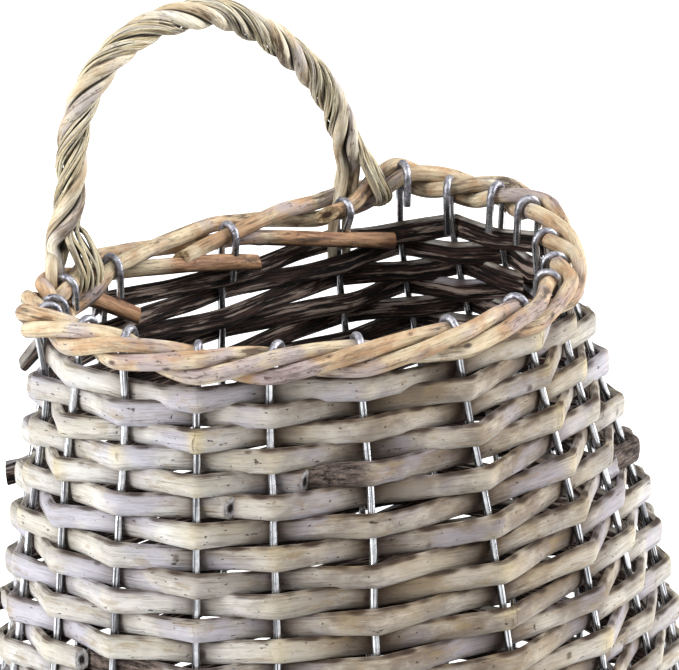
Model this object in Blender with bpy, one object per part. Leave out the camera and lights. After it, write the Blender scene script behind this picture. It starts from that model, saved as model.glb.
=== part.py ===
"""Wall basket: willow rods woven on wire stakes, a three-rod border, a twisted handle and a base board.

Lengths are metres, +Z is up and the basket stands on z = 0. X runs along the wall, the back faces +Y and the
front faces -Y. A place on the wall of the basket is given by three values: how far round it lies, counted in
stakes; how far it lies below the tops of the hooks; and how far outward it lies from the line of the stakes.
"""

import math

import bpy
import numpy as np
from mathutils import Vector

# Overall size
BODY_HEIGHT = 0.2175
MOUTH_HALF_WIDTH = 0.0925
MOUTH_DEPTH = 0.113
BACK_Y = 0.07115
SEAT_GAP = 0.00035

# Stakes: where each one stands round the mouth, as shares of the half width and of the depth, from the
# back right, along the back, down the left side, across the front and up the right side
STAKE_SHARES = (
    (0.498, 0.002),
    (0.000, 0.000),
    (-0.498, 0.002),
    (-0.745, 0.030),
    (-0.883, 0.127),
    (-0.982, 0.254),
    (-1.002, 0.400),
    (-0.949, 0.569),
    (-0.807, 0.724),
    (-0.618, 0.825),
    (-0.369, 0.936),
    (0.000, 1.000),
    (0.369, 0.936),
    (0.618, 0.825),
    (0.807, 0.724),
    (0.949, 0.569),
    (1.002, 0.400),
    (0.982, 0.254),
    (0.883, 0.127),
    (0.745, 0.030),
)
# How the body swells below the mouth: (share of the body's height, share of the mouth's size)
SWELL_SHARES = (
    (0.0, 1.0),
    (0.07, 1.0),
    (0.15, 1.038),
    (0.23, 1.089),
    (0.46, 1.208),
    (0.62, 1.27),
    (0.74, 1.292),
    (0.85, 1.265),
    (0.93, 1.208),
    (1.0, 1.13),
)
# Levels at which the stakes bend, as shares of their height
LEVEL_SHARES = (0.0, 0.08, 0.2, 0.36, 0.52, 0.66, 0.78, 0.88, 0.95, 1.0)
WIRE_D = 0.0024
HOOK_LEG = 0.012
HOOK_SPREAD_SHARE = 1.16
HOOK_STEPS = 6
# Length of each hook's inner leg, as a share of the usual one
LEG_SHARES = (
    *(0.9, 1.3, 1.25, 0.4, 0.25, 0.25, 0.3, 0.7, 0.8, 0.8),
    *(0.9, 0.8, 0.8, 0.9, 0.8, 0.8, 0.9, 0.9, 1.2, 1.0),
)
LEG_SLANT_SHARE = 0.2
RIM_RISE = 0.004
# How far each hook stands above or below the level of the mouth, as a share of the rise at the back corner
RISE_SHARES = (
    *(0.0, 0.0, 0.0, 0.0, 0.1, 0.4, 0.5, 0.5, 0.2, 0.0),
    *(0.0, 0.0, -0.2, -0.3, -0.35, -0.35, 0.0, 0.2, 0.4, 1.0),
)

# Weavers: level rods that pass in front of one stake and behind the next
FIRST_ROW_DROP = 0.017
ROW_ROD_D = 0.0061
ROW_GAP = 0.0003
LAST_ROW_GAP = 0.0012
JOINT_GAP = 0.0025
TAIL_LENGTH = 0.015
# The stake after which each row's two ends meet, from the top row down, and then over again
JOINT_STAKES = (
    *(2, 3, 16, 1, 9, 8, 0, 3, 13, 1, 18, 0, 6, 3, 1),
    *(12, 0, 15, 1, 3, 9, 17, 0, 11, 1, 3, 5, 0, 14, 1),
)
CORNER_STAKE = 3
FIRST_ROW_START_SHARE = 1.55
FIRST_ROW_END_SHARE = 0.2

# Border: three rods that pass in front of two stakes and behind one
RIM_ROD_D = 0.0049
RIM_HIGH_DROP = 0.0037
RIM_LOW_DROP = 0.0098
RIM_START_DROP = 0.0109
RIM_BULGE = 0.0072
RIM_REACH_SHARE = 1.33
BUTT_LENGTH = 0.0104
TAIL_SHARE = 0.27
# Places of the long tail inside the left corner, as shares of the way to the next stake: past the last
# stake, past the corner stake, and where it ends
TAIL_START_SHARES = (0.25, 0.5, 0.77)
TAIL_CORNER_SHARES = (0.1, 0.4)
TAIL_END_SHARE = 2.7

# Handle: two rods and two bundles of split willow twisted together
HANDLE_HEIGHT = 0.0703
HANDLE_ROD_D = 0.0034
HANDLE_TIP_D = 0.0024
HANDLE_SKEIN_D = 0.0043
HANDLE_FLAT_D = 0.0024
HANDLE_TURNS = 4
HANDLE_START_SHARE = -0.14
HANDLE_TWIST_SHARE = 0.306
HANDLE_TURN_STEPS = 9
HANDLE_FOOT_LIFT = 0.015
# Angle of each rod of the pair either side of the pair's middle
HANDLE_PAIR_ANGLE = math.radians(34.5)
ARCH_STEPS = 400
# Middle line of the handle, as shares of its rise: along the wall, and above the mouth
ARCH_SHARES = (
    (-0.809, 0.027),
    (-0.861, 0.293),
    (-0.852, 0.519),
    (-0.778, 0.713),
    (-0.630, 0.856),
    (-0.438, 0.967),
    (-0.218, 0.997),
    (-0.024, 0.972),
    (0.171, 0.871),
    (0.356, 0.717),
    (0.508, 0.523),
    (0.622, 0.313),
    (0.697, 0.129),
    (0.713, 0.007),
)
LEFT_FOOT_STAKE = 3
RIGHT_FOOT_STAKE = 0
# Where the bundles wrap the border, as shares of the way from a foot's stake to the one beside it
LEFT_WRAP_SHARE = 0.5
RIGHT_WRAP_SHARE = 0.6
# How far the wrap leans towards its foot above the border, as shares of the way between stakes
WRAP_LEAN_SHARES = (0.22, 0.08)

# Base board: the stakes are glued into its holes and end just above its underside
BOARD_THICKNESS = 0.0075
BOARD_EDGE = 0.005
BOARD_EDGE_STEPS = 3
STAKE_END_LIFT = 0.0005
HOLE_STEPS = 8

WIRE_R = WIRE_D / 2
ROW_R = ROW_ROD_D / 2
RIM_R = RIM_ROD_D / 2
ROD_R = HANDLE_ROD_D / 2
SKEIN_R = HANDLE_SKEIN_D / 2
FLAT_R = HANDLE_FLAT_D / 2
STAKE_COUNT = len(STAKE_SHARES)
RIM_CLEAR = RIM_R + WIRE_R + SEAT_GAP
RIM_REACH = RIM_CLEAR * RIM_REACH_SHARE
HOOK_DROP = WIRE_D + SEAT_GAP + RIM_R
HOOK_R = RIM_CLEAR * HOOK_SPREAD_SHARE
BOARD_TOP_DROP = BODY_HEIGHT - BOARD_THICKNESS
TIP_R = HANDLE_TIP_D / 2
FOOT_HALF = WIRE_R + SEAT_GAP + HANDLE_TIP_D
FOOT_LIFT = WIRE_R
LAST_ROW_DROP = BOARD_TOP_DROP - LAST_ROW_GAP - ROW_R
ROW_COUNT = 1 + math.floor((LAST_ROW_DROP - FIRST_ROW_DROP) / (ROW_ROD_D + ROW_GAP))
ROW_PITCH = (LAST_ROW_DROP - FIRST_ROW_DROP) / (ROW_COUNT - 1)
FOOT_BULGE = RIM_BULGE + WIRE_R

for old in list(bpy.data.objects):
    bpy.data.objects.remove(old, do_unlink=True)
basket = bpy.data.collections.new("wall_basket")
bpy.context.scene.collection.children.link(basket)


def material(name, color, roughness, metallic):
    """One plain finish with its colour, roughness and metallic value."""
    made = bpy.data.materials.new(name)
    made.use_nodes = True
    shader = made.node_tree.nodes["Principled BSDF"]
    shader.inputs["Base Color"].default_value = (*color, 1)
    shader.inputs["Roughness"].default_value = roughness
    shader.inputs["Metallic"].default_value = metallic
    return made


galvanised = material("galvanised_wire", (0.52, 0.53, 0.55), 0.35, 1.0)
grey_willow = material("grey_washed_willow", (0.44, 0.39, 0.32), 0.75, 0.0)
tan_willow = material("tan_willow", (0.56, 0.42, 0.26), 0.65, 0.0)
straw_willow = material("split_willow", (0.52, 0.45, 0.31), 0.7, 0.0)
board_wood = material("board_wood", (0.42, 0.33, 0.22), 0.7, 0.0)


def rod(name, points, thickness, finish, rings=1, radii=None):
    """A round rod along the points; rings 1 gives it six sides and 2 gives it eight."""
    curve = bpy.data.curves.new(name, "CURVE")
    curve.dimensions = "3D"
    curve.bevel_depth = thickness / 2
    curve.bevel_resolution = rings
    curve.use_fill_caps = True
    spline = curve.splines.new("POLY")
    spline.points.add(len(points) - 1)
    for index, place in enumerate(points):
        spline.points[index].co = (*place, 1)
        spline.points[index].radius = 1 if radii is None else radii[index]
    curve.materials.append(finish)
    made = bpy.data.objects.new(name, curve)
    basket.objects.link(made)
    return made


def smooth(table, at):
    """Hermite curve through a table of points, read at the places given along its first column."""
    table = np.array(table)
    at = np.clip(at, table[0, 0], table[-1, 0])
    slopes = np.gradient(table[:, 1], table[:, 0])
    index = np.clip(np.searchsorted(table[:, 0], at) - 1, 0, len(table) - 2)
    width = table[index + 1, 0] - table[index, 0]
    t = (at - table[index, 0]) / width
    start = (1 + 2 * t) * (1 - t) ** 2 * table[index, 1] + t * (1 - t) ** 2 * width * slopes[index]
    end = t**2 * (3 - 2 * t) * table[index + 1, 1] + t**2 * (t - 1) * width * slopes[index + 1]
    return start + end


# Levels at which the stakes bend; rods and stakes both follow the straight stretches between them
LEVELS = (BOARD_TOP_DROP - WIRE_D) * np.array(LEVEL_SHARES)
LEVEL_SWELLS = smooth(SWELL_SHARES, LEVELS / BODY_HEIGHT)


def stake_place(stake, drop):
    """Middle of a stake's wire at a drop below the hook tops."""
    x_share, depth_share = STAKE_SHARES[stake % STAKE_COUNT]
    swell = np.interp(drop, LEVELS, LEVEL_SWELLS)
    lean = (LEVEL_SWELLS[1] - LEVEL_SWELLS[0]) / LEVELS[1]
    swell = swell + min(drop, 0) * lean
    x = x_share * MOUTH_HALF_WIDTH * swell
    y = BACK_Y - depth_share * MOUTH_DEPTH * swell
    return Vector((x, y, BODY_HEIGHT - drop))


def stake_tangent(stake):
    """Direction along the wall at a stake, towards the next stake."""
    ahead = stake_place(stake + 1, 0)
    behind = stake_place(stake - 1, 0)
    return (ahead - behind).normalized()


def stake_outward(stake):
    """Level direction out of the basket at a stake."""
    tangent = stake_tangent(stake)
    return Vector((tangent.y, -tangent.x, 0))


def place(at, drop, out):
    """A place on the wall: at counts stakes, drop is below the hook tops and out is outward."""
    stake = math.floor(at)
    share = at - stake
    middle = stake_place(stake, drop).lerp(stake_place(stake + 1, drop), share)
    outward = stake_outward(stake).lerp(stake_outward(stake + 1), share).normalized()
    return middle + outward * out


def rise(at):
    """How far the border stands above its usual level."""
    stake = math.floor(at)
    share = at - stake
    here = RISE_SHARES[stake % STAKE_COUNT]
    there = RISE_SHARES[(stake + 1) % STAKE_COUNT]
    return RIM_RISE * (here + (there - here) * share)


def rim_place(at, drop, out):
    """A place on the border, which rises and falls round the mouth."""
    return place(at, drop - rise(at), out)


def spacing(stake):
    """Distance along the mouth from a stake to the next."""
    return (stake_place(stake + 1, 0) - stake_place(stake, 0)).length


def has_foot(stake):
    """Whether a foot of the handle stands beside this stake."""
    return stake % STAKE_COUNT in (LEFT_FOOT_STAKE, RIGHT_FOOT_STAKE)


def hook_points(stake):
    """The top of a stake: over the border's inner rod and down inside it."""
    stops = rim_stops(stake, -1, HOOK_DROP)
    centre = (stops[0] + stops[-1]) / 2
    up = (stake_place(stake, 0) - stake_place(stake, FIRST_ROW_DROP)).normalized()
    outward = stake_outward(stake)
    away = (outward - up * outward.dot(up)).normalized()
    points = []
    for step in range(HOOK_STEPS + 1):
        angle = math.pi * step / HOOK_STEPS
        points.append(centre + (away * math.cos(angle) + up * math.sin(angle)) * HOOK_R)
    leg = HOOK_LEG * LEG_SHARES[stake]
    points.append(points[-1] - up * leg - away * leg * LEG_SLANT_SHARE)
    return points


def make_stake(stake):
    """One wire: up from the board through the weave, and hooked over the border."""
    hole = stake_place(stake, BOARD_TOP_DROP)
    points = [Vector((hole.x, hole.y, STAKE_END_LIFT))]
    for drop in LEVELS[::-1][:-1]:
        points.append(stake_place(stake, drop))
    points += hook_points(stake)
    rod(f"stake_{stake + 1:02d}", points, WIRE_D, galvanised)


def weave_line(drop, first_side):
    """The row's middle at each stake: outside one, inside the next, clear of the wires."""
    centres = np.array([stake_place(stake, drop) for stake in range(STAKE_COUNT)])
    outward = np.array([stake_outward(stake) for stake in range(STAKE_COUNT)])
    along = np.array([stake_tangent(stake) for stake in range(STAKE_COUNT)])
    below = np.array([stake_place(stake, drop + ROW_R) for stake in range(STAKE_COUNT)])
    above = np.array([stake_place(stake, drop - ROW_R) for stake in range(STAKE_COUNT)])
    wires = below - above
    upright = -wires[:, 2] / np.linalg.norm(wires, axis=1)
    side = first_side * (-1.0) ** np.arange(STAKE_COUNT)
    clear = ROW_R + WIRE_R + SEAT_GAP
    reach = np.full(STAKE_COUNT, clear)
    for _ in range(4):
        line = centres + outward * (side * reach)[:, None]
        ahead = np.roll(line, -1, axis=0) - line
        behind = line - np.roll(line, 1, axis=0)
        ahead /= np.linalg.norm(ahead, axis=1)[:, None]
        behind /= np.linalg.norm(behind, axis=1)[:, None]
        square = np.minimum((ahead * along).sum(1), (behind * along).sum(1))
        reach = clear / (square * upright)
    line = centres + outward * (side * reach)[:, None]
    return [Vector(point) for point in line]


def make_row(row):
    """One weaver: a rod once round the basket, its two ends meeting between two stakes."""
    drop = FIRST_ROW_DROP + row * ROW_PITCH
    line = weave_line(drop, 1 if row % 2 == 0 else -1)
    joint = JOINT_STAKES[row % len(JOINT_STAKES)]
    before = line[joint]
    after = line[(joint + 1) % STAKE_COUNT]
    half_gap = (after - before).normalized() * (JOINT_GAP / 2)
    middle = (before + after) / 2
    turn = [line[(joint + 1 + step) % STAKE_COUNT] for step in range(STAKE_COUNT)]
    start = middle + half_gap
    end = middle - half_gap
    if row == 0:
        # The top row starts beside the left foot of the handle and ends before it
        turn = turn[1:]
        corner = line[CORNER_STAKE]
        start = corner.lerp(turn[0], FIRST_ROW_START_SHARE - 1)
        end = before.lerp(after, FIRST_ROW_END_SHARE)
    elif joint == CORNER_STAKE:
        # A rod along the back runs straight on past the corner
        end = before + (before - line[joint - 1]).normalized() * TAIL_LENGTH
        start = middle.lerp(after, 1 / 3)
    rod(f"weaver_row_{row + 1:02d}", [start, *turn, end], ROW_ROD_D, grey_willow)


def rim_stops(stake, side, drop):
    """Places of a border rod at a stake: one, or two where a foot of the handle needs room."""
    if not has_foot(stake):
        return [rim_place(stake, drop, side * RIM_REACH)]
    before = FOOT_HALF / spacing(stake - 1)
    after = FOOT_HALF / spacing(stake)
    reach = side * RIM_REACH
    return [rim_place(stake - before, drop, reach), rim_place(stake + after, drop, reach)]


def bulge_place(stake):
    """Where a border rod passes outside the other two."""
    drop = (RIM_LOW_DROP + RIM_HIGH_DROP) / 2
    if stake % STAKE_COUNT == LEFT_FOOT_STAKE:
        return rim_place(stake + 0.5, drop + RIM_R / 3, FOOT_BULGE)
    return rim_place(stake + 0.5, drop, RIM_BULGE)


def make_rim_rod(order, last):
    """One border rod: behind a stake, low past the next, high past the one after, and so on round."""
    first = order
    butt = BUTT_LENGTH / spacing(first - 1)
    points = [rim_place(first - butt, RIM_START_DROP + SEAT_GAP, -RIM_REACH - RIM_R)]
    for stake in range(first, last + 1):
        stage = (stake - first) % 3
        if stage == 0:
            drop = RIM_START_DROP if stake == first else HOOK_DROP
            points += rim_stops(stake, -1, drop)
            points.append(rim_place(stake + 0.5, RIM_LOW_DROP + SEAT_GAP, 0))
        elif stage == 1:
            points += rim_stops(stake, 1, RIM_LOW_DROP)
            points.append(bulge_place(stake))
        else:
            points += rim_stops(stake, 1, RIM_HIGH_DROP)
            lift = FOOT_LIFT if has_foot(stake) else SEAT_GAP
            points.append(rim_place(stake + 0.5, RIM_HIGH_DROP - lift, 0))
    points.pop()
    points += rim_tail(order, last)
    rod(f"rim_rod_{order + 1}", points, RIM_ROD_D, tan_willow, rings=2)


def rim_tail(order, last):
    """The end of a border rod after its last stake; the second one runs on inside the left corner."""
    if order != 1:
        return [rim_place(last + TAIL_SHARE, HOOK_DROP, -RIM_REACH - WIRE_D)]
    inside = -RIM_REACH - RIM_R
    corner = last + 1
    low = RIM_START_DROP + SEAT_GAP
    near, middle, far = TAIL_START_SHARES
    at_corner, past_corner = TAIL_CORNER_SHARES
    return [
        rim_place(last + near, HOOK_DROP + WIRE_R, -RIM_REACH - WIRE_R),
        rim_place(last + middle, RIM_LOW_DROP, inside),
        rim_place(last + far, low, -RIM_REACH),
        rim_place(corner + at_corner, low, -RIM_REACH),
        rim_place(corner + past_corner, RIM_START_DROP + WIRE_R, inside),
        rim_place(corner + 1, RIM_START_DROP + WIRE_D, inside - WIRE_D),
        rim_place(corner + 2, RIM_START_DROP + RIM_R, inside - RIM_ROD_D),
        rim_place(corner + TAIL_END_SHARE, RIM_START_DROP + RIM_R + WIRE_R, inside - 2 * RIM_ROD_D),
    ]


def arch_line(count):
    """Evenly spaced places, directions and lengths along the handle's middle line."""
    shares = np.array(ARCH_SHARES)
    steps = np.linalg.norm(np.diff(shares, axis=0), axis=1)
    length = np.concatenate([[0], np.cumsum(steps)])
    fine = np.linspace(0, length[-1], ARCH_STEPS)
    xs = smooth(np.column_stack([length, shares[:, 0]]), fine)
    zs = smooth(np.column_stack([length, shares[:, 1]]), fine)
    height = zs * HANDLE_HEIGHT
    keep = (height > HANDLE_FOOT_LIFT) | (np.abs(xs) < abs(shares[0, 0]) / 2)
    line = np.column_stack([xs * HANDLE_HEIGHT, np.full(len(xs), BACK_Y), height + BODY_HEIGHT])[keep]
    along = np.concatenate([[0], np.cumsum(np.linalg.norm(np.diff(line, axis=0), axis=1))])
    even = np.linspace(0, along[-1], count)
    places = np.column_stack([np.interp(even, along, line[:, axis]) for axis in range(3)])
    directions = np.gradient(places, axis=0)
    directions /= np.linalg.norm(directions, axis=1)[:, None]
    return places, directions


def helix(angle, radius):
    """A strand's middle along the twisted part of the handle."""
    count = HANDLE_TURN_STEPS * HANDLE_TURNS
    places, directions = arch_line(count)
    front = np.array([0.0, -1.0, 0.0])
    across = np.cross(directions, front)
    turns = HANDLE_TURNS + HANDLE_TWIST_SHARE
    twist = angle + np.linspace(0, 2 * math.pi * turns, count)
    line = places + radius * (np.cos(twist)[:, None] * front + np.sin(twist)[:, None] * across)
    return [Vector(point) for point in line]


def rod_foot(stake, side):
    """The end of a handle rod, down into the border beside a stake."""
    at = stake + side * (WIRE_R + SEAT_GAP + TIP_R) / spacing(stake if side > 0 else stake - 1)
    return [
        rim_place(at, -2 * HANDLE_ROD_D, 0),
        rim_place(at, -HANDLE_ROD_D / 2, 0),
        rim_place(at, RIM_START_DROP + WIRE_R / 2, 0),
    ]


def back_foot(stake):
    """The end of a bundle that lies behind the border at a stake."""
    out = RIM_REACH + RIM_R + SEAT_GAP + FLAT_R
    return [
        rim_place(stake, -2 * HANDLE_ROD_D, out - SKEIN_R * 2),
        rim_place(stake, -FLAT_R, out),
        rim_place(stake, RIM_LOW_DROP, out),
    ]


def wrap_foot(at, inside, under):
    """The end of a bundle that goes over the border, under it and up behind it."""
    side = 1 if at > STAKE_COUNT / 2 else -1
    far, near = WRAP_LEAN_SHARES
    back = RIM_BULGE + RIM_R + SEAT_GAP + FLAT_R + WIRE_R / 2
    return [
        rim_place(at + side * far, -2 * HANDLE_SKEIN_D, -SKEIN_R),
        rim_place(at + side * near, -FLAT_R, -inside),
        rim_place(at, HOOK_DROP, -inside),
        rim_place(at, under - RIM_R, -inside),
        rim_place(at, under, -inside + RIM_R),
        rim_place(at, under - FLAT_R / 2, RIM_R),
        rim_place(at, RIM_LOW_DROP, back - FLAT_R),
        rim_place(at, RIM_LOW_DROP - RIM_R, back),
        rim_place(at, RIM_HIGH_DROP, back),
    ]


def make_handle():
    """Two rods and two bundles in one twist, each with its own foot at either end."""
    third = 2 * math.pi / 3
    start = 2 * math.pi * HANDLE_START_SHARE
    rod_twist = SKEIN_R + ROD_R - SEAT_GAP / 2
    skein_twist = (SKEIN_R + SEAT_GAP) / math.sin(third / 2)
    left = LEFT_FOOT_STAKE
    right = RIGHT_FOOT_STAKE
    for number, side in ((1, 1), (2, -1)):
        foot = rod_foot(left, -side)[::-1]
        line = helix(start + side * HANDLE_PAIR_ANGLE, rod_twist)
        head = rod_foot(right, side)
        tip = HANDLE_TIP_D / HANDLE_ROD_D
        radii = [tip] * len(foot) + [1] * len(line) + [tip] * len(head)
        rod(f"handle_rod_{number}", foot + line + head, HANDLE_ROD_D, tan_willow, radii=radii)
    under = RIM_LOW_DROP + RIM_R + FLAT_R + 2 * SEAT_GAP
    inside = RIM_REACH + 2 * RIM_R + FLAT_R + 2 * SEAT_GAP
    left_wrap = wrap_foot(left - LEFT_WRAP_SHARE, inside, under + ROD_R)
    right_wrap = wrap_foot(STAKE_COUNT - RIGHT_WRAP_SHARE, RIM_CLEAR + WIRE_R, under)
    ends = ((1, -third, back_foot(left)[::-1], right_wrap), (2, third, left_wrap[::-1], back_foot(right)))
    flat = HANDLE_FLAT_D / HANDLE_SKEIN_D
    for number, angle, foot, head in ends:
        line = helix(start + angle, skein_twist)
        radii = [flat] * (len(foot) - 1) + [(1 + flat) / 2] + [1] * len(line)
        radii += [(1 + flat) / 2] + [flat] * (len(head) - 1)
        rod(f"handle_skein_{number}", foot + line + head, HANDLE_SKEIN_D, straw_willow, radii=radii)


def add_outline(curve, points):
    """One closed flat outline in a curve."""
    spline = curve.splines.new("POLY")
    spline.points.add(len(points) - 1)
    for index, point in enumerate(points):
        spline.points[index].co = (point[0], point[1], 0, 1)
    spline.use_cyclic_u = True


def make_board():
    """The base board, with a hole for each stake."""
    curve = bpy.data.curves.new("base_board", "CURVE")
    curve.dimensions = "2D"
    curve.fill_mode = "BOTH"
    curve.extrude = BOARD_THICKNESS / 2
    steps = STAKE_COUNT * BOARD_EDGE_STEPS
    corners = [place(step / BOARD_EDGE_STEPS, BOARD_TOP_DROP, BOARD_EDGE) for step in range(steps)]
    add_outline(curve, corners)
    hole_r = WIRE_R + 2 * SEAT_GAP
    for stake in range(STAKE_COUNT):
        centre = stake_place(stake, BOARD_TOP_DROP)
        turns = [2 * math.pi * step / HOLE_STEPS for step in range(HOLE_STEPS)]
        add_outline(
            curve,
            [(centre.x + hole_r * math.cos(turn), centre.y + hole_r * math.sin(turn)) for turn in turns],
        )
    curve.materials.append(board_wood)
    board = bpy.data.objects.new("base_board", curve)
    board.location.z = BOARD_THICKNESS / 2
    basket.objects.link(board)


for stake in range(STAKE_COUNT):
    make_stake(stake)
for row in range(ROW_COUNT):
    make_row(row)
for order, last in ((0, STAKE_COUNT + 1), (1, STAKE_COUNT + 2), (2, STAKE_COUNT)):
    make_rim_rod(order, last)
make_handle()
make_board()
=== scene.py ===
"""The looks of a half-round wall basket: willow woven on galvanised wire stakes, with a twisted handle."""

import math

import bpy
import numpy as np
from mathutils import Matrix, Vector


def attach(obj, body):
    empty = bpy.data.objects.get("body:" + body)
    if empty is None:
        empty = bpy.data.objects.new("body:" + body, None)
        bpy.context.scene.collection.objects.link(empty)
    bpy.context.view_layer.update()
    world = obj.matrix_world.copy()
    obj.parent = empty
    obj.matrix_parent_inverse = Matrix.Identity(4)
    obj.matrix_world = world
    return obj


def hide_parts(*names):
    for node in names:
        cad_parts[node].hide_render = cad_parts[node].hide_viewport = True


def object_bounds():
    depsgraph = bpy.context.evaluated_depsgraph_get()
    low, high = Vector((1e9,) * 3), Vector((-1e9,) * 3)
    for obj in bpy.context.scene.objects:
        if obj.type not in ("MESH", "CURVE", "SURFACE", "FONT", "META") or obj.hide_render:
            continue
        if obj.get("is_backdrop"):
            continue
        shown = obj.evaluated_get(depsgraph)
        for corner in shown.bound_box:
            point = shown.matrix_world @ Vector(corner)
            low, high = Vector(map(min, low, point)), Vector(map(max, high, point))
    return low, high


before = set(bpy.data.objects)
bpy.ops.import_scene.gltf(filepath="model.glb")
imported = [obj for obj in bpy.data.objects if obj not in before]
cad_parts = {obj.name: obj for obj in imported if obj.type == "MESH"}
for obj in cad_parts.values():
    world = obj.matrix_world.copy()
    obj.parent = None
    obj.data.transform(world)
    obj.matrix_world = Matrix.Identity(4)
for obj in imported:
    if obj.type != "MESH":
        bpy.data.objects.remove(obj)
cad_low, cad_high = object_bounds()

# The view of the photograph: from the basket's left and a little above, through a long lens two metres
# away, so that near and far rods are drawn almost alike. The lower half of the body runs out of the frame.
VIEW_AZIMUTH = math.radians(-39.73)
VIEW_ELEVATION = math.radians(20.6)
VIEW_DISTANCE = 2.2
VIEW_CENTRE = Vector((0.0068, 0.02215, 0.1928))
FOCAL_LENGTH_PX = 7205.3
PHOTO_WIDTH_PX = 679

back = Vector(
    (
        math.sin(VIEW_AZIMUTH) * math.cos(VIEW_ELEVATION),
        -math.cos(VIEW_AZIMUTH) * math.cos(VIEW_ELEVATION),
        math.sin(VIEW_ELEVATION),
    )
)
rightward = Vector((0, 0, 1)).cross(back).normalized()
upward = back.cross(rightward)
lens = bpy.data.cameras.new("photo_view")
lens.sensor_width = 36
lens.lens = FOCAL_LENGTH_PX / PHOTO_WIDTH_PX * lens.sensor_width
lens.clip_end = 20
camera = bpy.data.objects.new("photo_view", lens)
camera.matrix_world = Matrix.Translation(VIEW_CENTRE + back * VIEW_DISTANCE) @ Matrix(
    (
        (rightward.x, upward.x, back.x),
        (rightward.y, upward.y, back.y),
        (rightward.z, upward.z, back.z),
    )
).to_4x4()
bpy.context.scene.collection.objects.link(camera)
bpy.context.scene.camera = camera

# The stakes are twenty lengths of galvanised wire, glued upright into the base board. They follow the
# swell of the body, come up through the middle of the border, and are each bent over its inner rod into
# a hook with a short leg inside. The zinc is dull grey, with dark and white freckles where it is worn.
BODY_HEIGHT = 0.2175
MOUTH_HALF_WIDTH = 0.0925
MOUTH_DEPTH = 0.113
BACK_Y = 0.07115
WIRE_R = 0.0012
SEAT_GAP = 0.00035
STAKE_END = 0.0005
BOARD_THICKNESS = 0.0075
# Places of half the stakes round the mouth, from the back to the front, as shares of its half width and its
# depth. The other half mirrors them, and one stake stands in the middle of the back and one of the front.
HALF_SHARES = [
    *((0.498, 0.002), (0.745, 0.030), (0.883, 0.127), (0.982, 0.254), (1.002, 0.400)),
    *((0.949, 0.569), (0.807, 0.724), (0.618, 0.825), (0.369, 0.936)),
]
LEFT_SHARES = [(-across, behind) for across, behind in HALF_SHARES]
STAKE_SHARES = np.array([HALF_SHARES[0], (0.0, 0.0), *LEFT_SHARES, (0.0, 1.0), *HALF_SHARES[:0:-1]])
STAKE_COUNT = len(STAKE_SHARES)
# Swell of the body: share of its height below the mouth, and share of the mouth's size there
SWELL_SHARES = np.array(
    [
        *((0.0, 1.0), (0.07, 1.0), (0.15, 1.038), (0.23, 1.089), (0.46, 1.208)),
        *((0.62, 1.27), (0.74, 1.292), (0.85, 1.265), (0.93, 1.208), (1.0, 1.13)),
    ]
)
HOOK_LEG = 0.012
LEG_SHARES = np.array(
    [
        *(0.6, 1.15, 0.7, 0.5, 0.25, 0.25, 0.3, 0.7, 0.8, 0.8),
        *(0.9, 0.8, 0.8, 0.9, 0.8, 0.8, 0.9, 0.9, 1.1, 0.75),
    ]
)
# How far each hook's leg leans into the basket, as a share of its length
LEG_LEANS = {0: -0.4, 1: -0.12}
# How far the wires stray to the right at these depths below the mouth, in millimetres
STRAY_DROPS = (0.0, 0.032, 0.095, 0.14, 0.2)
STRAYS = np.zeros((STAKE_COUNT, len(STRAY_DROPS)))
STRAYS[3:, :3] = [
    *((1.0, 1.5, 1.5), (0.4, 3.0, 3.2), (-3.2, 2.5, 2.7), (1.6, 0.4, 3.4), (-1.2, 0, 1.2), (-0.3, -0.3, 0.3)),
    *((0.6, 0.1, -0.6), (2.2, 2.2, -2.3), (-0.6, 1.2, 0.5), (-0.6, 0.7, 0.8), (0.8, 0, 0.7)),
    *((-4.6, -1.4, 1.2), (-6, -3.5, -1), (-1.6, -3, -2.5), (-0.4, -2, -2), (-0.6, 0, 0), (0.4, 0, 0)),
]
STRAYS[13:15, 3] = 2.6
# How far each hook is turned to the right from straight inwards, in degrees
HOOK_TURNS = {9: 40, 12: -8, 14: -14, 15: -12}
# The border rises and falls round the mouth by this times each stake's share
RIM_RISE = 0.004
RISE_SHARES = np.array(
    [
        *(-0.11, 0.51, 0.56, 0.29, 0.05, 0.95, 0.95, 1.25, 0.47, 0.27),
        *(0.28, 0.36, -0.25, -0.62, -0.4, -0.35, 0.43, 0.62, 0.75, 1.9),
    ]
)
RIM_R = 0.00245
RIM_REACH = RIM_R + WIRE_R + SEAT_GAP
HOOK_DROP = 2 * WIRE_R + SEAT_GAP + RIM_R
HOOK_R = 0.0036


def ring_of(count):
    """Even angles once round."""
    return np.arange(count) * 2 * math.pi / count


def through(table, at):
    """Smooth curve through a table of points: a cubic between each two, with slopes from their neighbours."""
    slopes = np.gradient(table[:, 1], table[:, 0])
    at = np.clip(at, table[0, 0], table[-1, 0])
    left = np.clip(np.searchsorted(table[:, 0], at) - 1, 0, len(table) - 2)
    width = table[left + 1, 0] - table[left, 0]
    share = (at - table[left, 0]) / width
    value = (1 + 2 * share) * (1 - share) ** 2 * table[left, 1]
    value += share**2 * (3 - 2 * share) * table[left + 1, 1]
    value += width * share * (1 - share) ** 2 * slopes[left]
    return value + width * share**2 * (share - 1) * slopes[left + 1]


def strayed(stake, drop):
    """How far a wire strays: an even S from each value of its table to the next."""
    part = np.interp(drop, STRAY_DROPS, np.arange(len(STRAY_DROPS)))
    above = np.minimum(part.astype(int), len(STRAY_DROPS) - 2)
    share = part - above
    share = share**2 * (3 - 2 * share)
    return (STRAYS[stake, above] * (1 - share) + STRAYS[stake, above + 1] * share) / 1000


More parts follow.
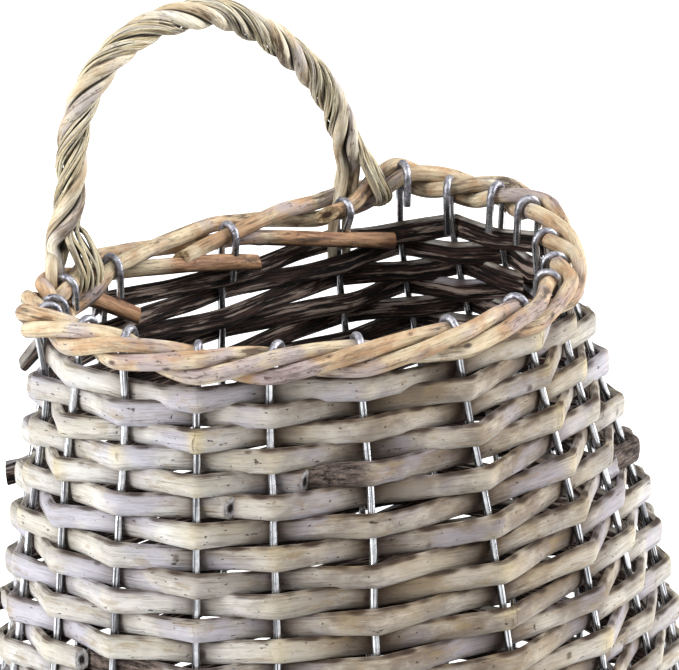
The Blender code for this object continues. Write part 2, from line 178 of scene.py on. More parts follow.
def stake_place(stake, drop):
    """Middle of a stake's wire: its place in the mouth's plan, times the body's swell at that drop."""
    stake, drop = np.broadcast_arrays(np.mod(stake, STAKE_COUNT), np.asarray(drop, float))
    share = STAKE_SHARES[stake]
    size = through(SWELL_SHARES, drop / BODY_HEIGHT)
    x = share[..., 0] * MOUTH_HALF_WIDTH * size + strayed(stake, drop)
    y = BACK_Y - share[..., 1] * MOUTH_DEPTH * size
    return np.stack(np.broadcast_arrays(x, y, BODY_HEIGHT - drop), axis=-1)


def stake_outward(stake):
    """Level direction out of the basket: square to the line between the stakes on either side."""
    stake = np.asarray(stake)
    along = stake_place(stake + 1, 0.0) - stake_place(stake - 1, 0.0)
    along /= np.linalg.norm(along, axis=-1, keepdims=True)
    return np.stack([along[..., 1], -along[..., 0], np.zeros(along.shape[:-1])], axis=-1)


def wall_outward(at):
    """Direction out of the basket anywhere round it, turning evenly from each stake to the next."""
    stake = np.floor(at).astype(int)
    share = (at - stake)[..., None]
    mixed = stake_outward(stake) * (1 - share) + stake_outward(stake + 1) * share
    return mixed / np.linalg.norm(mixed, axis=-1, keepdims=True)


def wall_place(at, drop, out):
    """Place on the wall: straight between two stakes at a drop, then out along the outward direction."""
    at, drop, out = np.broadcast_arrays(np.asarray(at, float), drop, out)
    stake = np.floor(at).astype(int)
    share = (at - stake)[..., None]
    middle = stake_place(stake, drop) * (1 - share) + stake_place(stake + 1, drop) * share
    return middle + wall_outward(at) * out[..., None]


def rim_place(at, drop, out):
    """Place on the border, which rises and falls round the mouth by the share at each stake."""
    at = np.asarray(at, float)
    shares = np.append(RISE_SHARES, RISE_SHARES[0])
    rise = np.interp(np.mod(at, STAKE_COUNT), np.arange(STAKE_COUNT + 1), shares)
    return wall_place(at, drop - rise * RIM_RISE, out)


def evenly(line, step):
    """Line re-cut into equal steps: every column is read at even lengths along its first three."""
    length = np.concatenate([[0], np.cumsum(np.linalg.norm(np.diff(line[:, :3], axis=0), axis=1))])
    count = max(int(round(length[-1] / step)), 4)
    even = np.linspace(0, length[-1], count + 1)
    return np.column_stack([np.interp(even, length, column) for column in line.T])


def softened(line, step, width):
    """Line with its corners rounded: each place is averaged with its neighbours under a bell of that width.
    Past its ends the line goes on as its own half turn about them, so the ends stay where they are."""
    reach = min(int(3 * width / step) + 1, len(line) - 2)
    head = 2 * line[0] - line[reach:0:-1]
    tail = 2 * line[-1] - line[-2 : -reach - 2 : -1]
    bell = np.exp(-0.5 * (np.arange(-reach, reach + 1) * step / width) ** 2)
    bell /= bell.sum()
    longer = np.concatenate([head, line, tail])
    return np.column_stack([np.convolve(column, bell, "valid") for column in longer.T])


def frames(line, outward):
    """Directions carried along a line: forward, across (the outward one made square to it) and over."""
    forward = np.gradient(line, axis=0)
    forward /= np.linalg.norm(forward, axis=1, keepdims=True)
    across = outward - forward * (outward * forward).sum(1, keepdims=True)
    across /= np.linalg.norm(across, axis=1, keepdims=True)
    return forward, across, np.cross(across, forward)


def carried(line, outward, out, up):
    """Profile carried along a line: line + out * across + up * over, both with a column for each place
    round the profile and a row for each place along the line, or one row for all."""
    forward, across, over = frames(line, outward)
    out, up = np.broadcast_arrays(out, up)
    return line[:, None] + out[..., None] * across[:, None] + up[..., None] * over[:, None]


CAP_SHARES = (0.3, 0.6, 0.9)


def shut(grid):
    """Grid with both ends closed: smaller rings inside each end ring, each a share of its size."""
    ends = []
    for ring in (grid[0], grid[-1]):
        middle = ring.mean(0)
        ends.append([middle + (ring - middle) * share for share in CAP_SHARES])
    return np.concatenate([ends[0], grid, ends[1][::-1]])


def with_poles(values):
    """Values of a shut grid, one row for each place, and after them the mean of each end ring."""
    strands, rings, sides, width = values.shape
    flat = values.reshape(strands, rings * sides, width)
    return np.concatenate([flat, values[:, :1].mean(2), values[:, -1:].mean(2)], axis=1).reshape(-1, width)


def add_surface(name, grid, finish, marks):
    """Closed mesh of one or more grids of places: columns go round, and a point in the middle shuts each end.
    marks holds values for the same places, kept in the mesh as colours or vectors for the finish."""
    if grid.ndim == 3:
        grid = grid[None]
        marks = {label: values[None] for label, values in marks.items()}
    strands, rings, sides = grid.shape[:3]
    ring = np.arange(sides)
    ahead = np.roll(ring, -1)
    row = np.arange(rings - 1)[:, None] * sides
    quads = np.stack([row + ring, row + ring + sides, row + ahead + sides, row + ahead], axis=-1)
    last = (rings - 1) * sides
    start_fan = np.column_stack([np.full(sides, rings * sides), ring, ahead])
    end_fan = np.column_stack([np.full(sides, rings * sides + 1), last + ahead, last + ring])
    fans = np.concatenate([start_fan, end_fan])
    shift = np.arange(strands)[:, None, None] * (rings * sides + 2)
    quads = (quads.reshape(-1, 4) + shift).reshape(-1, 4)
    fans = (fans + shift).reshape(-1, 3)
    corners = np.concatenate([quads.ravel(), fans.ravel()])
    starts = np.concatenate([np.arange(len(quads)) * 4, quads.size + np.arange(len(fans)) * 3])
    places = with_poles(grid)
    mesh = bpy.data.meshes.new(name)
    mesh.vertices.add(len(places))
    mesh.vertices.foreach_set("co", places.astype(np.float32).ravel())
    mesh.loops.add(len(corners))
    mesh.loops.foreach_set("vertex_index", corners.astype(np.int32))
    mesh.polygons.add(len(starts))
    mesh.polygons.foreach_set("loop_start", starts.astype(np.int32))
    mesh.update(calc_edges=True)
    for label, values in marks.items():
        kind = "FLOAT_VECTOR" if values.shape[-1] == 3 else "FLOAT_COLOR"
        layer = mesh.attributes.new(label, kind, "POINT")
        key = "vector" if kind == "FLOAT_VECTOR" else "color"
        layer.data.foreach_set(key, with_poles(values).astype(np.float32).ravel())
    mesh.shade_smooth()
    mesh.set_sharp_from_angle(angle=math.radians(55))
    mesh.materials.append(finish)
    piece = bpy.data.objects.new(name, mesh)
    bpy.context.scene.collection.objects.link(piece)
    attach(piece, "root")
    return piece


def wander(at, wave, rng):
    """Slow random change along a rod, from -1 to 1: the mean of four sine waves of unlike lengths."""
    waves = wave * np.array([1.0, 0.61, 0.37, 1.7])
    starts = rng.uniform(0, 2 * math.pi, 4)
    return np.sin(2 * math.pi * at[..., None] / waves + starts).mean(-1) * 1.4


def hook_line(stake):
    """Top of a stake: half a circle over the border's inner rod, then a leg that leans into the basket."""
    inner = rim_place(stake, HOOK_DROP, 0.0)
    out = stake_outward(stake)
    turn = math.radians(HOOK_TURNS.get(stake, 0))
    out = out * math.cos(turn) + np.cross(out, (0, 0, 1)) * math.sin(turn)
    up = stake_place(stake, 0.0) - stake_place(stake, 0.017)
    up /= np.linalg.norm(up)
    away = out - up * (out * up).sum()
    away /= np.linalg.norm(away)
    inner = inner - away * RIM_REACH
    turn = np.linspace(0, math.pi * 1.04, 15)[:, None]
    loop = inner + (away * np.cos(turn) + up * np.sin(turn)) * HOOK_R
    leg = HOOK_LEG * LEG_SHARES[stake]
    return np.concatenate([loop, [loop[-1] - up * leg - away * leg * LEG_LEANS.get(stake, 0.0)]])


def linked(tree, kind, **sockets):
    """Shader node of a kind, with each named input set to a value or joined to another node's output."""
    node = tree.nodes.new(kind)
    for label, value in sockets.items():
        socket = node.inputs[label.replace("_", " ")]
        if isinstance(value, bpy.types.NodeSocket):
            tree.links.new(value, socket)
        else:
            socket.default_value = value
    return node


def shade(red, green, blue):
    """Colour as it shows on a screen, 0 to 255, turned into light: the share to the power 2.2."""
    return ((red / 255) ** 2.2, (green / 255) ** 2.2, (blue / 255) ** 2.2, 1)


def blended(tree, share, low, high, way="MIX"):
    """Colour between two, by a share."""
    node = tree.nodes.new("ShaderNodeMix")
    node.data_type = "RGBA"
    node.blend_type = way
    for index, value in ((0, share), (6, low), (7, high)):
        if isinstance(value, bpy.types.NodeSocket):
            tree.links.new(value, node.inputs[index])
        else:
            node.inputs[index].default_value = value
    return node.outputs[2]


def sharpened(tree, value, low, high, bottom=0.0, top=1.0):
    """Share that goes smoothly from bottom to top as a value goes from low to high."""
    node = linked(tree, "ShaderNodeMapRange", Value=value)
    node.interpolation_type = "SMOOTHSTEP"
    node.inputs["From Min"].default_value = low
    node.inputs["From Max"].default_value = high
    node.inputs["To Min"].default_value = bottom
    node.inputs["To Max"].default_value = top
    return node.outputs[0]


def shifted(tree, value, low, high, first, second):
    """Colour that goes from the first to the second as a value goes from low to high."""
    return blended(tree, sharpened(tree, value, low, high), first, second)


def laid_over(tree, skin, value, low, high, most, colour):
    """Skin with a colour over it, from none where a value is low to most of it where the value is high."""
    return blended(tree, sharpened(tree, value, low, high, 0, most), skin, colour)


def sum_of(tree, first, second, way="ADD"):
    """Two values put together by one step of arithmetic."""
    node = tree.nodes.new("ShaderNodeMath")
    node.operation = way
    for socket, value in zip(node.inputs, (first, second)):
        if isinstance(value, bpy.types.NodeSocket):
            tree.links.new(value, socket)
        else:
            socket.default_value = value
    return node.outputs[0]


def product(tree, first, second):
    """One value times another."""
    return sum_of(tree, first, second, "MULTIPLY")


def new_finish(name, roughness, metallic=0.0):
    """Material with its node tree and its shader, ready for colour and relief."""
    made = bpy.data.materials.new(name)
    made.use_nodes = True
    shader = made.node_tree.nodes["Principled BSDF"]
    shader.inputs["Roughness"].default_value = roughness
    shader.inputs["Metallic"].default_value = metallic
    return made, made.node_tree, shader


def cloud(tree, place, scale, detail=3.0, rough=0.6, stretch=(1, 1, 1)):
    """Noise at a place that is first stretched along each of its own directions."""
    longer = linked(tree, "ShaderNodeVectorMath", Vector=place)
    longer.operation = "MULTIPLY"
    longer.inputs[1].default_value = stretch
    noise = linked(tree, "ShaderNodeTexNoise", Vector=longer.outputs[0], Scale=scale, Detail=detail)
    noise.inputs["Roughness"].default_value = rough
    return noise.outputs["Fac"]


def add_relief(tree, shader, height, depth):
    """Bump from a height, its depth in metres."""
    bump = linked(tree, "ShaderNodeBump", Height=height, Strength=1.0, Distance=depth)
    tree.links.new(bump.outputs["Normal"], shader.inputs["Normal"])


def marked(tree, label):
    """The three channels and the alpha of a value kept in the mesh."""
    layer = linked(tree, "ShaderNodeAttribute")
    layer.attribute_name = label
    parts = linked(tree, "ShaderNodeSeparateXYZ", Vector=layer.outputs["Vector"])
    return [parts.outputs[axis] for axis in "XYZ"] + [layer.outputs["Alpha"], layer.outputs["Vector"]]


zinc, tree, shader = new_finish("galvanised_wire", 0.3, 0.85)
place = tree.nodes.new("ShaderNodeTexCoord").outputs["Object"]
own = marked(tree, "own_place")[4]
height = linked(tree, "ShaderNodeSeparateXYZ", Vector=place).outputs["Z"]
hook = sharpened(tree, height, BODY_HEIGHT - 0.009, BODY_HEIGHT - 0.004)
patches = cloud(tree, place, 420, 4.0, 0.65)
lines = cloud(tree, own, 1500, 2.0, 0.6, (0.012, 1, 1))
freckles = sharpened(tree, cloud(tree, place, 1100, 3.0, 0.6), 0.55, 0.68)
plain = shifted(tree, patches, 0.35, 0.65, shade(190, 192, 196), shade(224, 226, 230))
plain = laid_over(tree, plain, lines, 0.46, 0.58, 0.9, shade(62, 62, 66))
bent = shifted(tree, patches, 0.38, 0.62, shade(112, 112, 120), shade(164, 164, 172))
skin = blended(tree, hook, plain, blended(tree, freckles, bent, shade(76, 76, 82)))
tree.links.new(skin, shader.inputs["Base Color"])
gloss = sharpened(tree, patches, 0.3, 0.7, 0.16, 0.24)
tree.links.new(sum_of(tree, gloss, product(tree, hook, 0.2)), shader.inputs["Roughness"])
add_relief(tree, shader, product(tree, patches, hook), 0.0004)

WIRE_STEP = 0.0012
WIRE_ROUNDING = 0.0011
WIRE_BOW = 0.00022
HOOK_RUN_UP = 0.0015
WIRE_ANGLES = ring_of(12)
WIRE_RING = (WIRE_R * np.cos(WIRE_ANGLES), WIRE_R * np.sin(WIRE_ANGLES))
for stake in range(STAKE_COUNT):
    rng = np.random.default_rng(100 + stake)
    top = HOOK_DROP - RISE_SHARES[stake] * RIM_RISE + HOOK_RUN_UP
    upright = stake_place(stake, np.linspace(BODY_HEIGHT - BOARD_THICKNESS, top, 60))
    foot = upright[0] * (1, 1, 0) + (0, 0, STAKE_END)
    line = evenly(np.concatenate([[foot], upright, hook_line(stake)]), WIRE_STEP)
    line = softened(line, WIRE_STEP, WIRE_ROUNDING)
    side = np.cross(stake_outward(stake), (0, 0, 1))
    line += wander(np.arange(len(line)) * WIRE_STEP, 0.06, rng)[:, None] * WIRE_BOW * side
    grid = shut(carried(line, np.repeat(side[None], len(line), axis=0), *WIRE_RING))
    along = np.arange(len(grid)) * WIRE_STEP + stake
    own = np.stack(np.broadcast_arrays(along[:, None], *WIRE_RING), axis=-1)
    piece = add_surface(f"wire_stake_{stake + 1:02d}", grid, zinc, {"own_place": own})
    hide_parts(f"stake_{stake + 1:02d}")

# The sides are thick willow rods laid level, one row on another. Each rod goes in front of a wire and behind
# the next, and is creased where it bends over one. Outside it has a chalky grey wash, worn to yellow on the
# bends; inside and along the back it keeps its dark ridged bark. Each row's two ends pass between two stakes.
ROW_COUNT = 30
FIRST_ROW_DROP = 0.017
LAST_ROW_DROP = 0.20575
# A row's rod is crushed flat between the wires: half its thickness and half its height
ROW_HALF_OUT = 0.00155
ROW_HALF_OVER = 0.0037
ROW_STEP = 0.0008
ROW_ROUNDING = 0.00065
# How far a rod's middle swings out in front of a wire, and the length of its crease there
CREST_OUT = 0.0029
STAKE_SPACING = 0.026
CREASE_LENGTH = 0.0024
ROW_ANGLES = ring_of(24)
ROW_FACE = np.sign(np.cos(ROW_ANGLES)) * np.abs(np.cos(ROW_ANGLES)) ** 0.72
ROW_EDGE = np.sign(np.sin(ROW_ANGLES)) * np.abs(np.sin(ROW_ANGLES)) ** 0.78
JOINT_STAKES = (
    *(2, 3, 16, 1, 9, 8, 0, 3, 13, 1, 18, 0, 6, 3, 1),
    *(12, 0, 15, 1, 3, 9, 17, 0, 11, 1, 3, 5, 0, 14, 1),
)
# Where in its gap between two stakes a row's joint lies, where that isn't the middle
JOINT_SHARES = {4: 0.3, 5: 0.42}
JOINT_LAP = 0.004
CORNER_STAKE = 3
TAIL_LENGTH = 0.008
TAIL_DROPS = {1: 0.006}
# Rows whose rod starts in rough bark on its outside too, and how far that goes
BARK_BUTTS = {4: 0.028, 8: 0.03, 12: 0.035, 20: 0.04, 23: 0.03}
# How far each of the upper rows is beaten up at the front
FRONT_LIFTS = np.array([2.0, 3.0, 3.0, 2.7, 3.1, 2.8, 2.0, 1.3, 0.7, 0.8, 0.6, 0.3]) / 1000
# The top row climbs into the border at its start: its drop at the first stakes it passes
START_DROPS = (0.0115, 0.0135, 0.0152)
START_STAKE = 5


def row_reach(drop, side, half_out):
    """How far a row's middle stands from each wire: the two radii and a gap, over the cosine of its slant."""
    stakes = np.arange(STAKE_COUNT)
    centres = stake_place(stakes, drop)
    outward = stake_outward(stakes)
    along = np.cross((0.0, 0.0, 1.0), outward)
    clear = half_out + WIRE_R + 0.0001
    reach = np.full(STAKE_COUNT, clear)
    for _ in range(4):
        line = centres + outward * (side * reach)[:, None]
        ahead = np.roll(line, -1, axis=0) - line
        behind = np.roll(ahead, 1, axis=0)
        ahead = (ahead * along).sum(1) / np.linalg.norm(ahead, axis=1)
        behind = (behind * along).sum(1) / np.linalg.norm(behind, axis=1)
        reach = clear / np.minimum(ahead, behind)
    return reach


def row_line(row):
    """Middle of a row: straight from each stake to the next, with its place round the basket and its side."""
    drop = FIRST_ROW_DROP + row * (LAST_ROW_DROP - FIRST_ROW_DROP) / (ROW_COUNT - 1)
    side = (1.0 if row % 2 == 0 else -1.0) * (-1.0) ** np.arange(STAKE_COUNT)
    reach = row_reach(drop, side, ROW_HALF_OUT)
    joint = JOINT_STAKES[row]
    share = JOINT_SHARES.get(row, 0.5)
    turn = np.arange(joint + 1, joint + 1 + STAKE_COUNT)
    at = turn.astype(float)
    out = (side * reach)[turn % STAKE_COUNT]
    lift = FRONT_LIFTS[row] if row < len(FRONT_LIFTS) else 0.0
    front = np.clip((np.abs(np.mod(at, STAKE_COUNT) - 10.7) - 3.6) / -2.6 + 1, 0, 1)
    drops = drop - lift * front
    half_lap = JOINT_LAP / np.linalg.norm(stake_place(joint + 1, drop) - stake_place(joint, drop)) / 2
    start_at, end_at = joint + share - half_lap, joint + STAKE_COUNT + share + half_lap
    start_out, end_out = -ROW_HALF_OUT - 0.0002, ROW_HALF_OUT + 0.0002
    if row == 0:
        keep = at >= START_STAKE
        at, out, drops = at[keep], out[keep], drops[keep]
        drops[: len(START_DROPS)] = START_DROPS
        start_at, end_at = START_STAKE - 0.35, joint + STAKE_COUNT + 0.2
        start_out, end_out = out[0], out[-1] * 0.6
    at = np.concatenate([[start_at], at, [end_at]])
    out = np.concatenate([[start_out], out, [end_out]])
    drops = np.concatenate([drops[:1], drops, drops[-1:]])
    return np.column_stack([at, drops, out])


def row_path(row):
    """Even line of a row, creased at each stake, with columns for its place round the basket and its side."""
    table = row_line(row)
    places = wall_place(*table.T)
    if JOINT_STAKES[row] == CORNER_STAKE and row:
        run = places[-2] - places[-3]
        places[-1] = places[-2] + run / np.linalg.norm(run) * TAIL_LENGTH - (0, 0, TAIL_DROPS.get(row, 0))
    line = evenly(np.column_stack([places, table]), ROW_STEP)
    return softened(line, ROW_STEP, ROW_ROUNDING)


def knots(along, angles, rng, spacing, width):
    """Scars of side shoots: a bell of height 1 every so often along a rod, each on its own side of it."""
    marks = np.zeros((len(along), len(angles)))
    for middle in np.arange(rng.uniform(0, spacing), along[-1], spacing):
        middle += rng.uniform(-0.3, 0.3) * spacing
        turn = (angles - rng.uniform(0, 2 * math.pi) + math.pi) % (2 * math.pi) - math.pi
        far = ((along - middle) / width)[:, None] ** 2 + (turn / 0.42) ** 2
        marks = np.maximum(marks, np.exp(-far) * rng.uniform(0.5, 1.0))
    return marks


def slanted(grid, slants, radius, angles):
    """Grid with its ends cut on a slant: near an end each place moves along by slant * radius * cos of its
    angle from the slant's own direction, fading out over four radii."""
    steps = np.linalg.norm(np.diff(grid.mean(1), axis=0), axis=1)
    along = np.concatenate([[0], np.cumsum(steps)])
    forward = np.gradient(grid.mean(1), axis=0)
    forward /= np.linalg.norm(forward, axis=1, keepdims=True)
    for ends, sign, (slant, turn) in ((along, 1, slants[0]), (along[-1] - along, -1, slants[1])):
        fade = np.clip(1 - ends / (4 * radius), 0, 1)[:, None]
        push = slant * radius * (1 + np.cos(angles - turn)) * fade
        grid = grid + sign * push[..., None] * forward[:, None]
    return grid


def rod_marks(along, angles, half, coat, mood, rng):
    """Values for a rod's finish, also over its closed ends. coat: wash or painted light, outward side, knot
    and cut
    end. mood: wear on a bend or reddish bark, brownness (on the rows partly painted shade), rough bark and
    painted
    shade along the edges. own_place: each place in the rod's own length and thickness."""
    caps = np.array(CAP_SHARES)
    count = len(caps)
    share = np.concatenate([caps, np.ones(len(along)), caps[::-1]])[:, None]
    far = np.concatenate([np.full(count, along[0]), along, np.full(count, along[-1])])[:, None]
    own = [far + rng.uniform(0, 40)]
    own += [turn(angles) * half * share + rng.uniform(0, 1) for turn in (np.cos, np.sin)]
    cut = np.concatenate([np.ones(count), np.zeros(len(along)), np.ones(count)])[:, None]
    layers = [np.broadcast_to(layer, (len(along), len(angles))) for layer in (*coat, *mood)]
    longer = [np.pad(layer, ((count, count), (0, 0)), "edge") for layer in layers]
    longer[2] = np.where(cut > 0, share < 0.5, longer[2])
    return {
        "coat": np.stack([*longer[:3], np.broadcast_to(cut, longer[0].shape)], axis=-1),
        "mood": np.stack(longer[3:], axis=-1),
        "own_place": np.stack(np.broadcast_arrays(*own), axis=-1),
    }


washed, tree, shader = new_finish("washed_willow", 0.75)
shader.inputs["Specular IOR Level"].default_value = 0.22
own = marked(tree, "own_place")[4]
wash, crest, knot, cut, _ = marked(tree, "coat")
wear, brown, bark, edge_shade, _ = marked(tree, "mood")
fibre = cloud(tree, own, 1700, 5.0, 0.7, (0.05, 1, 1))
streak = cloud(tree, own, 600, 4.0, 0.65, (0.07, 1, 1))
patch = cloud(tree, own, 90, 5.0, 0.65, (0.5, 1, 1))
tint = cloud(tree, own, 50, 3.0, 0.55, (0.7, 1, 1))
pits = sharpened(tree, cloud(tree, own, 900, 2.0, 0.5, (0.5, 1, 1)), 0.67, 0.74)
chalk = shifted(tree, patch, 0.38, 0.62, shade(212, 208, 202), shade(242, 240, 236))
chalk = laid_over(tree, chalk, tint, 0.5, 0.62, 0.75, shade(208, 206, 222))
chalk = laid_over(tree, chalk, tint, 0.5, 0.38, 0.4, shade(228, 221, 200))
earth = shifted(tree, patch, 0.4, 0.62, shade(128, 113, 98), shade(192, 180, 164))
earth = laid_over(tree, earth, tint, 0.53, 0.64, 0.7, shade(168, 160, 166))
earth = laid_over(tree, earth, tint, 0.47, 0.36, 0.5, shade(164, 144, 110))
# The brown mark mixes the chalky wash into a darker earth tone. This is partly less wash at the front and
# partly painted shade on the front middle and on each rod's upper side.
skin = blended(tree, brown, chalk, earth)
skin = laid_over(tree, skin, streak, 0.54, 0.76, 0.5, shade(126, 110, 94))
worn = product(tree, wear, sharpened(tree, patch, 0.4, 0.62, 0, 0.8))
skin = blended(tree, worn, skin, shade(222, 204, 154))
stains = sharpened(tree, cloud(tree, own, 240, 5.0, 0.7, (0.3, 1, 1)), 0.54, 0.66, 0, 0.5)
skin = blended(tree, stains, skin, shade(160, 136, 98))
wrinkles = sharpened(tree, cloud(tree, own, 420, 3.0, 0.6, (2.2, 0.6, 0.6)), 0.55, 0.64)
wrinkles = product(tree, wrinkles, sharpened(tree, wear, 0.35, 0.9))
skin = blended(tree, product(tree, wrinkles, 0.5), skin, shade(126, 104, 78))
shadow = sum_of(tree, product(tree, brown, 0.6), 0.4)
# Painted shade where a rod dives in behind a wire, stronger towards the front.
painted_hollow_shade = product(tree, sharpened(tree, crest, 0.0, 0.42, 1, 0), shadow)
skin = blended(tree, painted_hollow_shade, skin, shade(144, 126, 114), "MULTIPLY")
# More painted shade right beside the wire, where the rod is furthest in.
skin = blended(tree, sharpened(tree, crest, 0.0, 0.16, 0.8, 0), skin, shade(120, 104, 94), "MULTIPLY")
# Painted shade along each rod's top and bottom edges, where the rows meet.
edge = product(tree, sharpened(tree, edge_shade, 0.35, 0.9), shadow)
skin = blended(tree, edge, skin, shade(124, 106, 94), "MULTIPLY")
skin = laid_over(tree, skin, fibre, 0.5, 0.74, 0.5, shade(96, 82, 70))
# The painted edge shade, broken up by the fibre grain, darkens the skin further.
grain_and_edge_shade = sum_of(tree, edge_shade, product(tree, sum_of(tree, fibre, 0.5, "SUBTRACT"), 2.0))
skin = laid_over(tree, skin, grain_and_edge_shade, 0.5, 1.0, 0.8, shade(62, 48, 40))
dark = shifted(tree, fibre, 0.45, 0.63, shade(3, 2, 2), shade(82, 62, 56))
dark = laid_over(tree, dark, streak, 0.52, 0.61, 0.9, shade(184, 164, 152))
seen = sum_of(tree, wash, product(tree, sum_of(tree, streak, 0.5, "SUBTRACT"), 1.4))
skin = shifted(tree, seen, 0.32, 0.56, dark, skin)
scab = cloud(tree, own, 800, 5.0, 0.75, (0.25, 1, 1))
rough = shifted(tree, scab, 0.36, 0.66, shade(46, 36, 34), shade(150, 134, 124))
frayed = sum_of(tree, bark, product(tree, sum_of(tree, scab, 0.5, "SUBTRACT"), 1.6))
skin = shifted(tree, frayed, 0.35, 0.65, skin, rough)
skin = laid_over(tree, skin, knot, 0.35, 0.8, 0.75, shade(70, 54, 44))
skin = blended(tree, product(tree, pits, 0.8), skin, shade(60, 48, 40))
pores = sharpened(tree, cloud(tree, own, 1300), 0.4, 0.65)
end = blended(tree, pores, shade(170, 162, 156), shade(222, 222, 228))
end = blended(tree, knot, end, shade(30, 24, 22))
tree.links.new(shifted(tree, cut, 0.6, 0.9, skin, end), shader.inputs["Base Color"])
height = sum_of(tree, fibre, product(tree, streak, 1.2))
height = sum_of(tree, height, product(tree, pits, 0.5), "SUBTRACT")
height = sum_of(tree, height, product(tree, wrinkles, 0.6), "SUBTRACT")
height = sum_of(tree, height, product(tree, product(tree, scab, bark), 2.5))
add_relief(tree, shader, height, 0.001)

for row in range(ROW_COUNT):
    rng = np.random.default_rng(500 + row)
    line = row_path(row)
    line, at, out = line[:, :3], line[:, 3], line[:, 5]
    along = np.arange(len(line)) * ROW_STEP
    crest = np.clip(out / CREST_OUT, -1, 1)
    around = np.mod(at, STAKE_COUNT)
    at_back = np.clip(1 - np.abs(np.mod(around + 10, STAKE_COUNT) - 11) / 2.4, 0, 1) ** 0.5
    taper = 1.03 - 0.06 * along / along[-1] - 0.05 * (row > 14)
    size = taper * (1 + 0.08 * wander(along, 0.07, rng)) * (1 - 0.16 * at_back)
    half_out = ROW_HALF_OUT * size * (1 + 0.3 * at_back)
    half_over = ROW_HALF_OVER * size * (1 + 0.04 * crest**4)
    line[:, 2] += 0.0006 * wander(along, 0.11, rng) - 0.0004 * (1 - crest) * (1 - at_back)
    scars = knots(along, ROW_ANGLES, rng, 0.034, 0.0017)
    face = np.cos(ROW_ANGLES) + 0.3 * np.sin(ROW_ANGLES)
    wash = np.clip(0.5 + 0.75 * (face + 0.45), 0, 1) * (1 - 0.8 * at_back)[:, None]
    bark = np.clip((BARK_BUTTS.get(row, -1) - along) / 0.012, 0, 1)
    ridges = np.zeros((len(line), len(ROW_ANGLES)))
    for count in (4, 5, 7):
        ridges += np.sin(count * ROW_ANGLES + 1.5 * wander(along, 0.09, rng)[:, None] + rng.uniform(0, 6))
    relief = 1 + (0.02 + 0.04 * (1 - wash)) * ridges / 2 + 0.12 * scars
    deep, tall = half_out[:, None] * relief * ROW_FACE, half_over[:, None] * relief * ROW_EDGE
    grid = carried(line, wall_outward(at), deep, tall)
    slants = [(rng.uniform(0.3, 0.7), rng.uniform(-0.8, 0.8)) for _ in range(2)]
    grid = slanted(grid, slants, ROW_HALF_OVER, ROW_ANGLES)
    wears = rng.uniform(0, 1, 2 * STAKE_COUNT + 2) ** 1.6
    near = (np.mod(at + 0.5, 1) - 0.5) * STAKE_SPACING / CREASE_LENGTH
    bend = np.exp(-(near**2)) * wears[np.round(at).astype(int)] * (crest > 0)
    # Brown: darker and browner towards the front middle and on each rod's upper side (+0.25 sin). This is
    # partly less wash and partly painted shade, where the front gets less of the side lamps and the upper
    # side is shaded.
    brown = np.clip(1.25 - np.abs(around - 10.8) / 3, 0, 1) * 0.8 + 0.08 + 0.15 * wander(along, 0.2, rng)
    brown = brown[:, None] + 0.25 * np.sin(ROW_ANGLES)
    # Painted shade along each rod's top and bottom edges, where the rows touch, varied a little along the
    # rod.
    edge_shade = np.clip(np.abs(np.sin(ROW_ANGLES + 0.2)) * 2 - 1.1, 0, 1)
    edge_shade = edge_shade * (0.8 + 0.3 * wander(along, 0.02, rng))[:, None]
    coat = (wash, (0.5 + 0.5 * crest)[:, None], scars)
    mood = (bend[:, None], np.clip(brown, 0, 1), bark[:, None], edge_shade)
    marks = rod_marks(along, ROW_ANGLES, ROW_HALF_OVER, coat, mood, rng)
    piece = add_surface(f"willow_row_{row + 1:02d}", shut(grid), washed, marks)
    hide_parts(f"weaver_row_{row + 1:02d}")

# The border is three stouter tan rods, plaited once round over the top row: behind one stake, low past the
# next, high past the one after, and in again. Their cut ends lie inside along the back, the thick ones in
# reddish bark; one long end runs down inside the left corner. Dry patches are lavender grey, knots dark.
RIM_HIGH_DROP = 0.0037
RIM_LOW_DROP = 0.0098
RIM_BULGE = 0.005
# The rods' thick ends inside the back, from the cut to where each goes out: place round the mouth and x, y, z
RIM_BUTTS = (
    [
        *((-0.85, 0.0655, 0.0645, 0.1983), (0.04, 0.0442, 0.0645, 0.2032)),
        *((0.43, 0.0261, 0.066, 0.2076), (0.85, 0.0071, 0.0705, 0.2112)),
    ],
    [
        *((0.76, 0.0112, 0.0645, 0.2036), (1.04, -0.0019, 0.0645, 0.2067)),
        *((1.3, -0.0137, 0.0655, 0.2086), (1.75, -0.0344, 0.07, 0.2105)),
    ],
    [
        *((1.8, -0.0373, 0.064, 0.1972), (2.0, -0.0462, 0.064, 0.2022)),
        *((2.4, -0.0548, 0.0643, 0.207), (2.77, -0.0625, 0.0652, 0.2102)),
    ],
)
# How far the reddish bark on them goes
RUSSET_LENGTHS = (0.052, 0.04, 0.03)
# Their thin ends, past the last hook that each runs under
RIM_TIPS = (
    [(21.2, -0.0085, 0.0668, 0.2134), (21.47, -0.0219, 0.0664, 0.2106)],
    [],
    [(20.12, 0.041, 0.0668, 0.2128), (20.24, 0.0352, 0.0664, 0.2114)],
)
# Slant and direction of each rod's two cuts
RIM_CUTS = (((0.5, 2.6), (0.9, 2.4)), ((0.6, 2.3), (0.4, 1.0)), ((0.5, 2.6), (1.5, 2.9)))
# How far the rods are pulled up outside the stakes of the left corner
OUTER_RISES = {4: 0.0018, 5: 0.0016, 6: 0.0006}
RIM_VIEW_R = 0.0024
RIM_STEP = 0.001
RIM_ANGLES = ring_of(28)
FOOT_TIP = 0.0024
FOOT_HALF = WIRE_R + SEAT_GAP + FOOT_TIP
LEFT_FOOT = 3
RIGHT_FOOT = 0


def spacing(stake):
    """Distance round the mouth from a stake to the next."""
    return np.linalg.norm(stake_place(stake + 1, 0.0) - stake_place(stake, 0.0))


